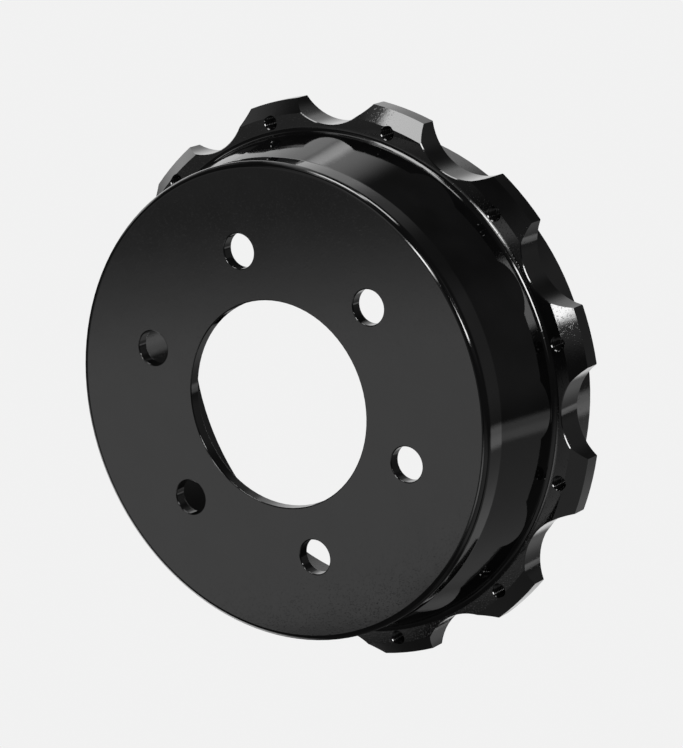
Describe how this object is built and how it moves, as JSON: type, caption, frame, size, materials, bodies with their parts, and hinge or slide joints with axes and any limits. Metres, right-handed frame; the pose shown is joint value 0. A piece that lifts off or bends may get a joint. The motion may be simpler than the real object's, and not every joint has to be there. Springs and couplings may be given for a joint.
{
  "type": "brake rotor hat",
  "caption": "Gloss black hat of a two-piece brake disc: flat wheel face, tapered drum wall and a scalloped flange with threaded lobes.",
  "frame": {"origin": "on the hat's axis, in the plane of the pilot ring's open rim that it rests on", "axes": "+Z along the hat's axis towards the wheel face; a stud hole and a lobe lie on +X"},
  "size_m": [0.2586, 0.2586, 0.084],
  "materials": {
    "black_coat": "gloss"
  },
  "bodies": {
    "root": {"rotor_hat": "black_coat"}
  },
  "joints": []
}
